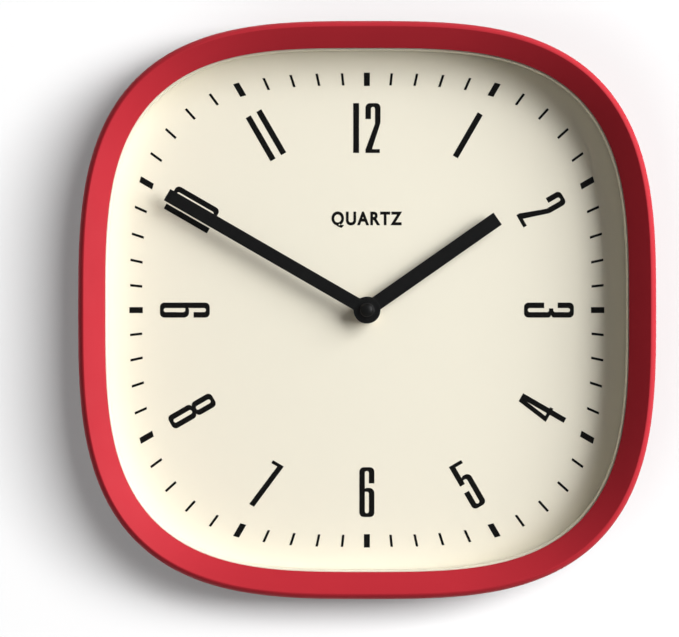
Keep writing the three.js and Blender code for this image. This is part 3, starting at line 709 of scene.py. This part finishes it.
# ---- Printing on the dial ----
TRACK = 102.8  # half width of the superellipse along the middle of the marks
TRACK_EXPONENT = 3.29
HOUR_MARK = (2.65, 5.95)  # width and length
MINUTE_MARK = (1.1, 5.4)
NUMERAL_TRACK = 81.1  # half width of the superellipse through the middles of the numerals
NUMERAL_EXPONENT = 3.45
WORD_WIDTH = 31.5
WORD_Z = 40.3  # height of the word's middle above the hands' axis

# A digit is drawn from strokes in a box whose lower left corner is the origin.
DIGIT_HEIGHT = 22.2
DIGIT_WIDTH = 6.7
DIGIT_GAP = 2.85
STEM = 2.45  # thickness of an upright stroke
BAR = 1.7  # and of a level one
LEFT, RIGHT = STEM, DIGIT_WIDTH - STEM  # inner sides of the two upright strokes
OUTER_ROUND = 2.0
INNER_ROUND = 0.85
WAIST = 12.1  # height at which 3 and 8 are pinched
HOOK = 7.2  # length of the open end of 3 and 6

SMALLEST_AREA = 1e-6  # of a stroke's quad; anything smaller is a fold in a corner
SHORTEST_EDGE = 1e-5


def covered(quads):
    """A flat mesh, in X and Z, that covers all the quads and has no overlap."""
    corners = []
    faces = []
    for quad in quads:
        area = sum(a.cross(b) for a, b in zip(quad, quad[1:] + quad[:1])) / 2
        if abs(area) < SMALLEST_AREA:
            continue
        ordered = quad if area > 0 else quad[::-1]
        faces.append([len(corners) + i for i in range(len(ordered))])
        corners += ordered
    points, _, triangles, _, _, sources = delaunay_2d_cdt(
        corners, [], faces, 1, SHORTEST_EDGE
    )
    bm = bmesh.new()
    verts = [bm.verts.new((p.x, 0, p.y)) for p in points]
    for triangle, source in zip(triangles, sources):
        if source:
            bm.faces.new([verts[i] for i in triangle])
    loose = [v for v in bm.verts if not v.link_faces]
    bmesh.ops.delete(bm, geom=loose, context="VERTS")
    bmesh.ops.dissolve_limit(bm, angle_limit=FLAT_ANGLE, verts=bm.verts, edges=bm.edges)
    return bm


def printed(quads):
    """Ink of even thickness over the quads, lying on the dial."""
    bm = covered(quads)
    for vert in bm.verts:
        vert.co.y = DIAL_FRONT + INK_SINK
    top = bmesh.ops.extrude_face_region(bm, geom=bm.faces[:])["geom"]
    for item in top:
        if isinstance(item, bmesh.types.BMVert):
            item.co.y = DIAL_FRONT - INK
    return bm


def band(outer, inner, closed=False):
    """Quads between two rounded polylines that have the same number of corners."""
    a = rounded(outer, closed)
    b = rounded(inner, closed)
    count = len(a) if closed else len(a) - 1
    quads = []
    for i in range(count):
        j = (i + 1) % len(a)
        quad = [a[i], a[j], b[j], b[i]]
        quads.append(
            [p for k, p in enumerate(quad) if (p - quad[k - 1]).length > SHORTEST_EDGE]
        )
    return [quad for quad in quads if len(quad) > 2]


def box_quad(x0, x1, z0, z1):
    return [Vector((x0, z0)), Vector((x1, z0)), Vector((x1, z1)), Vector((x0, z1))]


def loop_band(z0, z1, low_bar=BAR, high_bar=BAR):
    """A closed loop as wide as a digit."""
    w, r, q = DIGIT_WIDTH, OUTER_ROUND, INNER_ROUND
    return band(
        [(0, z0, r), (w, z0, r), (w, z1, r), (0, z1, r)],
        [
            (LEFT, z0 + low_bar, q), (RIGHT, z0 + low_bar, q),
            (RIGHT, z1 - high_bar, q), (LEFT, z1 - high_bar, q),
        ],
        closed=True,
    )


def digit_0():
    return loop_band(0, DIGIT_HEIGHT)


def digit_1():
    return [box_quad(0, WIDTHS[1], 0, DIGIT_HEIGHT)]


def digit_2():
    w, h, r, q = DIGIT_WIDTH, DIGIT_HEIGHT, OUTER_ROUND, INNER_ROUND
    hook_end = h - 7.1
    neck = band(
        [(0, hook_end, 0), (0, h, r), (w, h, r), (w, 13.4, 4), (2.75, 1.2, 0)],
        [
            (LEFT, hook_end, 0), (LEFT, h - BAR, q), (RIGHT, h - BAR, q), (RIGHT, 13, 3),
            (0, 1.5, 0),
        ],
    )
    return neck + [box_quad(0, w - 0.3, 0, BAR)]


def digit_3():
    w, h, r, q = DIGIT_WIDTH, DIGIT_HEIGHT, OUTER_ROUND, INNER_ROUND
    arm, half_arm = 2.6, 0.95  # where the middle stroke starts, and half its thickness
    pinch = 1.3
    lower_end = 9
    upper = band(
        [(0, h - HOOK, 0), (0, h, r), (w, h, r), (w, WAIST, pinch), (arm, WAIST, 0)],
        [
            (LEFT, h - HOOK, 0), (LEFT, h - BAR, q), (RIGHT, h - BAR, q),
            (RIGHT, WAIST + half_arm, q), (arm, WAIST + half_arm, 0),
        ],
    )
    lower = band(
        [(0, lower_end, 0), (0, 0, r), (w, 0, r), (w, WAIST, pinch), (arm, WAIST, 0)],
        [
            (LEFT, lower_end, 0), (LEFT, BAR, q), (RIGHT, BAR, q),
            (RIGHT, WAIST - half_arm, q), (arm, WAIST - half_arm, 0),
        ],
    )
    return upper + lower


def digit_4():
    h, stem_right, bar_low, bar_high = DIGIT_HEIGHT, 6.1, 7.1, 8.65
    slant = [
        Vector((2.0, h)), Vector((4.1, h)), Vector((2.05, bar_low)), Vector((0, bar_low)),
    ]
    return [
        slant,
        box_quad(stem_right - STEM, stem_right, 0, h),
        box_quad(1.0, DIGIT_WIDTH + 0.1, bar_low, bar_high),
    ]


def digit_5():
    w, h, r, q = DIGIT_WIDTH, DIGIT_HEIGHT, OUTER_ROUND, INNER_ROUND
    start, top, thickness = 1.3, 15.7, 1.8  # of the bowl, which starts inside the stem
    lower_end = 8.6
    bowl = band(
        [
            (start, top - thickness, 0), (3.1, top, 1.4), (w, top, 2.3), (w, 0, r),
            (0, 0, r), (0, lower_end, 0),
        ],
        [
            (start, top - 3.4, 0), (LEFT + 0.1, top - thickness, 0.8),
            (RIGHT, top - thickness, q), (RIGHT, BAR, q), (LEFT, BAR, q),
            (LEFT, lower_end, 0),
        ],
    )
    flag = box_quad(0, 6.3, h - 1.6, h)
    stem = box_quad(0, STEM, 12.1, h)
    return bowl + [flag, stem]


def digit_6():
    w, h, r, q = DIGIT_WIDTH, DIGIT_HEIGHT, OUTER_ROUND, INNER_ROUND
    loop = 13.0  # height of the closed part
    return band(
        [
            (w, h - HOOK, 0), (w, h, r), (0, h, r), (0, 0, r), (w, 0, r),
            (w, loop, 2.3), (3.0, loop, 1.2), (1.2, loop - 1.2, 0),
        ],
        [
            (RIGHT, h - HOOK, 0), (RIGHT, h - BAR, q), (LEFT, h - BAR, q), (LEFT, BAR, q),
            (RIGHT, BAR, q), (RIGHT, loop - BAR, q), (LEFT, loop - BAR, q),
            (1.2, loop - BAR - 1.5, 0),
        ],
    )


def digit_7():
    h = DIGIT_HEIGHT
    bar = box_quad(0, 5.3, h - 1.5, h)
    stem = [Vector((3.25, h)), Vector((WIDTHS[7], h)), Vector((3.05, 0)), Vector((0.6, 0))]
    return [bar, stem]


def digit_8():
    overlap = 0.1  # each loop goes this far past the waist
    middle_bar = 1.2
    lower = loop_band(0, WAIST + overlap, BAR, middle_bar)
    upper = loop_band(WAIST - overlap, DIGIT_HEIGHT, middle_bar, BAR)
    return lower + upper


def digit_9():
    w, h = DIGIT_WIDTH, DIGIT_HEIGHT
    return [[Vector((w - p.x, h - p.y)) for p in quad] for quad in digit_6()]


DIGITS = [
    digit_0, digit_1, digit_2, digit_3, digit_4, digit_5, digit_6, digit_7, digit_8, digit_9,
]
WIDTHS = {1: 2.6, 7: 5.6}  # of the digits narrower than DIGIT_WIDTH


def numeral_quads(number):
    """A numeral's digits side by side, with its middle at the origin."""
    quads = []
    x = 0
    for digit in map(int, str(number)):
        quads += [[Vector((p.x + x, p.y)) for p in quad] for quad in DIGITS[digit]()]
        x += WIDTHS.get(digit, DIGIT_WIDTH) + DIGIT_GAP
    middle = Vector(((x - DIGIT_GAP) / 2, DIGIT_HEIGHT / 2))
    return [[p - middle for p in quad] for quad in quads]


def clockwise(point, angle):
    """Turns a point clockwise as seen from the front."""
    return Vector((
        point.x * math.cos(angle) + point.y * math.sin(angle),
        point.y * math.cos(angle) - point.x * math.sin(angle),
    ))


def make_numerals():
    for number in range(1, 13):
        angle = math.radians(30 * number)
        radius = NUMERAL_TRACK * outline_factor(NUMERAL_EXPONENT, angle)
        place = clockwise(Vector((0, radius)), angle)
        turn = angle + (math.pi if 4 <= number <= 8 else 0)  # 4 to 8 are read from outside
        quads = [
            [clockwise(p, turn) + place for p in quad] for quad in numeral_quads(number)
        ]
        piece(f"numeral_{number:02d}", printed(quads), INK_BLACK)


def mark_quad(angle, width, length):
    """A radial mark whose ends follow the minute track."""
    corners = []
    for end, side in ((-1, -1), (1, -1), (1, 1), (-1, 1)):
        reach = TRACK + end * length / 2
        near = reach * outline_factor(TRACK_EXPONENT, angle)
        turned = angle + side * math.asin(width / 2 / near)
        radius = reach * outline_factor(TRACK_EXPONENT, turned)
        corners.append(clockwise(Vector((0, radius)), turned))
    return corners


def make_marks():
    hours = [mark_quad(math.radians(30 * i), *HOUR_MARK) for i in range(12)]
    minutes = [mark_quad(math.radians(6 * i), *MINUTE_MARK) for i in range(60) if i % 5]
    piece("hour_marks", printed(hours), INK_BLACK)
    piece("minute_marks", printed(minutes), INK_BLACK)


def make_word():
    """The plain word QUARTZ in widely spaced, slightly bold capitals."""
    text = bpy.data.curves.new("word", "FONT")
    text.body = "QUARTZ"
    text.size = 8.0
    text.space_character = 1.2
    text.offset = 0.32
    text.align_x = "CENTER"
    text.extrude = (INK + INK_SINK) / 2
    bm = surface_of(text)
    low = min(v.co.y for v in bm.verts)
    high = max(v.co.y for v in bm.verts)
    left = min(v.co.x for v in bm.verts)
    right = max(v.co.x for v in bm.verts)
    centring = (-(left + right) / 2, WORD_Z - (low + high) / 2, 0)
    bmesh.ops.translate(bm, vec=centring, verts=bm.verts)
    bmesh.ops.scale(bm, vec=(WORD_WIDTH / (right - left), 1, 1), verts=bm.verts)
    middle_y = DIAL_FRONT + INK_SINK - (INK + INK_SINK) / 2
    bm.transform(Matrix.Translation((0, middle_y, 0)) @ UPRIGHT)
    piece("dial_word", bm, INK_BLACK)


# ---- Hands ----
def hand_loops(length, width, bore, angle):
    """A straight blade on a round hub, `angle` degrees past twelve, and the hub's bore."""
    half, tip_round = width / 2, 0.25
    shoulder = math.asin(half / HUB_RADIUS)
    blade = distinct(rounded([
        (half, HUB_RADIUS, 0), (half, length, tip_round),
        (-half, length, tip_round), (-half, HUB_RADIUS, 0),
    ], closed=False), closed=False)
    hub = arc(
        0, 0, HUB_RADIUS, math.pi / 2 + shoulder, math.pi / 2 - shoulder + 2 * math.pi, 64
    )
    outline = blade[1:-1] + hub
    turn = math.radians(angle)
    return [[clockwise(p, turn) for p in outline], circle(0, 0, bore)]


def make_hands():
    hour = plate("hour_hand", hand_loops(**HOUR_HAND), BLADE_EDGE)
    piece("hour_blade", hour, BLACK_PAINT, "hour", ["hour_hand"])
    minute = plate("minute_hand", hand_loops(**MINUTE_HAND), BLADE_EDGE)
    piece("minute_blade", minute, BLACK_PAINT, "minute", ["minute_hand"])


def make_cap():
    """A domed cap on a straight rim, with a dimple in front and a blind bore behind."""
    base, top = back("hand_cap"), front("hand_cap")
    rim, edge, step, bore = base - 0.7, 0.15, 0.2, 1.5
    bore_end = base - 1.4
    profile = [(bore, base), (CAP_RADIUS - edge, base), (CAP_RADIUS, base - edge)]
    profile += [(CAP_RADIUS, rim), (CAP_RADIUS - edge, rim - edge)]
    profile.append((CAP_RADIUS - edge - step, rim - step))
    dome_radius, dome_base, dome_steps = CAP_RADIUS - 0.4, rim - step, 14
    for i in range(dome_steps):
        turn = math.pi / 2 * i / dome_steps
        rise = (dome_base - top) * math.sin(turn)
        profile.append((dome_radius * math.cos(turn), dome_base - rise))
    profile += [(0.45, top), (0.3, top + 0.12), (0, top + 0.16)]
    profile += [(0, bore_end), (bore, bore_end), (bore, base)]
    bm = revolved(profile)
    piece("centre_cap", bm, BLACK_PAINT, "minute", ["hand_cap"])


# ---- Screws, hanger and cell ----
SCREW_TURNS = [12, 71, 38, 5, 64, 27, 83, 49, 20, 57]  # how far each was driven, in degrees
HEAD_RADIUS = 2.5
HEAD_HEIGHT = 1.9
THREAD_PITCH = 1.2


def screw_bmesh():
    """A pan-head self-tapping screw whose head's underside is at y = 0, driven towards -Y."""
    profile = [(0, -8), (0.25, -7.7), (0.95, -6.4)]  # the point
    for i in range(5):
        y = -6 + THREAD_PITCH * i
        profile += [(1.1, y), (0.85, y + 0.55)]
    profile += [(1.0, -0.1), (1.0, 0), (2.4, 0), (HEAD_RADIUS, 0.12)]
    corner, rim = 1.0, 0.7
    for i in range(9):
        turn = math.pi / 2 * i / 8
        profile.append((
            HEAD_RADIUS - corner + corner * math.cos(turn),
            rim + (HEAD_HEIGHT - rim) * math.sin(turn),
        ))
    profile.append((0, HEAD_HEIGHT))
    return revolved(profile, 40)


def cross_recess(angle):
    """The two crossed arms to cut out of a head."""
    reach, half_width, floor, above = 1.55, 0.34, 0.95, 2.2
    cross = []
    for turn in (angle, angle + 90):
        arm = block(-reach, reach, floor, above, -half_width, half_width)
        cross.append(scratch(arm, Matrix.Rotation(math.radians(turn), 4, "Y")))
    return cross


def make_screws():
    names = [f"board_screw_{i}" for i in range(1, 9)] + ["hanger_screw_1", "hanger_screw_2"]
    for name, turn in zip(names, SCREW_TURNS):
        low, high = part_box(name)
        made = piece(
            name.replace("screw", "pan_head"), screw_bmesh(), STEEL, replaces=[name]
        )
        boolean(made, cross_recess(turn), "DIFFERENCE")
        seat = high.y - HEAD_HEIGHT * MM
        middle = Vector(((low.x + high.x) / 2, seat, (low.z + high.z) / 2))
        made.data.transform(Matrix.Translation(middle - Vector((0, 0, AXIS_Z))))
        smooth(made.data)


def make_hanger():
    low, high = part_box("hanger_plate")
    left, right = low.x / MM, high.x / MM
    bottom, top = (low.z - AXIS_Z) / MM, (high.z - AXIS_Z) / MM
    corner = 3
    outline = distinct(rounded([
        (left, bottom, corner), (right, bottom, corner), (right, top, corner),
        (left, top, corner),
    ]))
    slot_radius, entry_radius, slot_length = 2.5, 5.0, 8
    slot_end = -AXIS_Z / MM  # the frame's origin is where the hook bears
    entry = slot_end - slot_length
    screw_x, screw_z = 16, 118
    neck = math.asin(slot_radius / entry_radius)
    keyhole = arc(0, slot_end, slot_radius, 0, math.pi, 24)
    keyhole += arc(
        0, entry, entry_radius, math.pi / 2 + neck, math.pi / 2 - neck + 2 * math.pi, 40
    )
    holes = [circle(side * screw_x, screw_z, SCREW_HOLE, 24) for side in (-1, 1)]
    bm = plate("hanger_plate", [outline, keyhole, *holes], bevel=0.15)
    piece("keyhole_hanger", bm, STEEL, replaces=["hanger_plate"])


def make_washer():
    bore, rim, edge = 4.2, 5.9, 0.1
    rear, fore = back("steel_washer"), front("steel_washer")
    profile = [tuple(p) for p in distinct(rounded(
        [(bore, rear, edge), (rim, rear, edge), (rim, fore, edge), (bore, fore, edge)], steps=3
    ))]
    bm = revolved(profile, closed=True)
    piece("flat_washer", bm, STEEL, replaces=["steel_washer"])


def make_cell():
    """A cell in a sleeve that is folded over its two steel ends."""
    low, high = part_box("battery_cell")
    length = (high.x - low.x) / MM
    radius = (high.y - low.y) / 2 / MM
    middle = Vector((0, (low.y + high.y) / 2 / MM, ((low.z + high.z) / 2 - AXIS_Z) / MM))
    rear_edge = arc(radius - 0.5, 0.5, 0.5, -math.pi / 2, 0, 5)
    front_edge = arc(radius - 0.6, length - 1.9, 0.6, 0, math.pi / 2, 5)
    profile = [(0, 0.35), (4.3, 0.35), (4.6, 0.05), (5.0, 0), (radius - 0.6, 0)]
    profile += [(p.x, p.y) for p in rear_edge + front_edge]
    profile += [(5.6, length - 1.35), (5.2, length - 1.6), (3.2, length - 1.6)]
    profile += [(2.75, length - 1.3), (2.7, length - 0.3), (2.4, length), (0, length)]  # the nub
    sleeve_fold = 1.0
    bm = revolved(profile, 72)
    bm.transform(
        Matrix.Translation(middle)
        @ Matrix.Rotation(-math.pi / 2, 4, "Z")
        @ Matrix.Translation((0, -length / 2, 0))
    )
    cell = piece("aa_cell", bm, SLEEVE, "cell", ["battery_cell"])
    cell.data.materials.append(STEEL)
    for face in cell.data.polygons:
        off_axis = Vector((face.center.y, face.center.z - AXIS_Z)) / MM - middle.yz
        if off_axis.length < radius - sleeve_fold:
            face.material_index = 1


dress_nodes()
make_case()
make_spacer()
make_pane()
make_board()
make_numerals()
make_marks()
make_word()
make_hands()
make_cap()
make_screws()
make_hanger()
make_washer()
make_cell()


# ---- Room ----
def plain(name, colour):
    """Matt paint with a barely visible unevenness."""
    finish = Finish(name, colour, 0.9)
    finish.mottle(finish.noise(3, 3), darker(colour, 0.985))
    finish.set("Specular IOR Level", 0.1)
    return finish


def make_wall():
    """A wall with a hole hidden behind the clock, seen through from behind."""
    hole_inset, reach, exponent, y = 2.2, 3500, 8, 0.5
    outer = []
    for i in range(OUTLINE_STEPS):
        angle = 2 * math.pi * i / OUTLINE_STEPS
        radius = reach * outline_factor(exponent, angle)
        outer.append(Vector((radius * math.cos(angle), radius * math.sin(angle))))
    bm = bmesh.new()
    rings = [
        [bm.verts.new((p.x, y, p.y)) for p in ring] for ring in (outline_loop(hole_inset), outer)
    ]
    strip_faces(bm, rings, closed=False)
    bm.transform(TO_FRAME)
    mesh = mesh_of(bm, "wall")
    if mesh.polygons[0].normal.y > 0:
        mesh.flip_normals()
    finish = plain("wall_white", (0.2, 0.2, 0.2, 1))
    facing = finish.add("ShaderNodeNewGeometry")
    clear = finish.add("ShaderNodeBsdfTransparent")
    mix = finish.add("ShaderNodeMixShader")
    finish.link(facing.outputs["Backfacing"], mix.inputs["Fac"])
    finish.link(finish.shader.outputs["BSDF"], mix.inputs[1])
    finish.link(clear.outputs["BSDF"], mix.inputs[2])
    finish.show(mix.outputs["Shader"])
    mesh.materials.append(finish.material)
    wall = in_scene("wall", mesh)
    return wall


def make_floor():
    """A pale floor that glows a little and casts no light on the clock."""
    reach, height = 4.0, -1.3
    corners = [(-1, -1), (1, -1), (1, 1), (-1, 1)]
    mesh = bpy.data.meshes.new("floor")
    mesh.from_pydata([(x * reach, y * reach, height) for x, y in corners], [], [(0, 1, 2, 3)])
    finish = plain("floor_pale", (0.6, 0.6, 0.59, 1))
    finish.set("Emission Color", (0.86, 0.86, 0.84, 1))
    finish.set("Emission Strength", 0.85)
    mesh.materials.append(finish.material)
    floor = in_scene("floor", mesh)
    floor.visible_diffuse = False
    floor.visible_glossy = False
    return floor


LAMP_TARGET = Vector((0, -0.02, AXIS_Z))  # the middle of the clock


def lamp(name, place, size, power, lit=None):
    """A soft box aimed at the clock from `place`, which lights only the objects in `lit`."""
    light = bpy.data.lights.new(name, "AREA")
    light.shape = "RECTANGLE"
    light.size, light.size_y = size
    light.energy = power
    made = in_scene(name, light)
    made.location = LAMP_TARGET + Vector(place)
    made.rotation_euler = Vector(place).to_track_quat("Z", "Y").to_euler()
    made.visible_camera = False
    if lit is not None:
        group = bpy.data.collections.new(name + "_lights")
        for thing in lit:
            group.objects.link(thing)
        made.light_linking.receiver_collection = group


def make_world():
    """Faint white light all round, with a pale grey background for the camera."""
    world = bpy.data.worlds.new("studio")
    bpy.context.scene.world = world
    world.use_nodes = True
    tree = world.node_tree
    background = tree.nodes["Background"]
    background.inputs["Color"].default_value = (1, 1, 1, 1)
    background.inputs["Strength"].default_value = 0.16
    seen = tree.nodes.new("ShaderNodeBackground")
    seen.inputs["Color"].default_value = (0.86, 0.87, 0.88, 1)
    path = tree.nodes.new("ShaderNodeLightPath")
    mix = tree.nodes.new("ShaderNodeMixShader")
    tree.links.new(path.outputs["Is Camera Ray"], mix.inputs["Fac"])
    tree.links.new(background.outputs["Background"], mix.inputs[1])
    tree.links.new(seen.outputs["Background"], mix.inputs[2])
    tree.links.new(mix.outputs["Shader"], tree.nodes["World Output"].inputs["Surface"])


def make_camera():
    """A long lens square on to the clock, which sits a little right of and above the middle."""
    distance, view_width = 2.0, 0.2996  # the width of the view in the plane of the bezel
    bezel_plane = CREST * MM + 0.005
    aside, below = -0.0122, 0.00375
    data = bpy.data.cameras.new("camera")
    data.sensor_width = 36
    data.lens = data.sensor_width * distance / view_width
    camera = in_scene("camera", data)
    camera.location = (aside, bezel_plane - distance, AXIS_Z - below)
    camera.rotation_euler = (math.pi / 2, 0, 0)
    bpy.context.scene.camera = camera


room = [make_wall(), make_floor()]
make_world()
make_camera()
meshes = [thing for thing in bpy.context.scene.objects if thing.type == "MESH"]
clock = [thing for thing in meshes if thing not in room]
lamp("key", place=(2.0, -1.4, 0.85), size=(2.2, 2.4), power=150, lit=clock)
lamp("wall_wash", place=(1.25, -2.3, 0.42), size=(1.9, 0.8), power=365, lit=room)
lamp("wall_fill", place=(-1.1, -1.6, -0.9), size=(2, 2), power=85, lit=room)
lamp("rear_left", place=(-0.9, 1.3, 0.55), size=(1.4, 1.4), power=13)
lamp("rear_right", place=(1.3, 1.3, -0.2), size=(1.4, 1.4), power=7)
bpy.context.scene.view_settings.view_transform = "Standard"
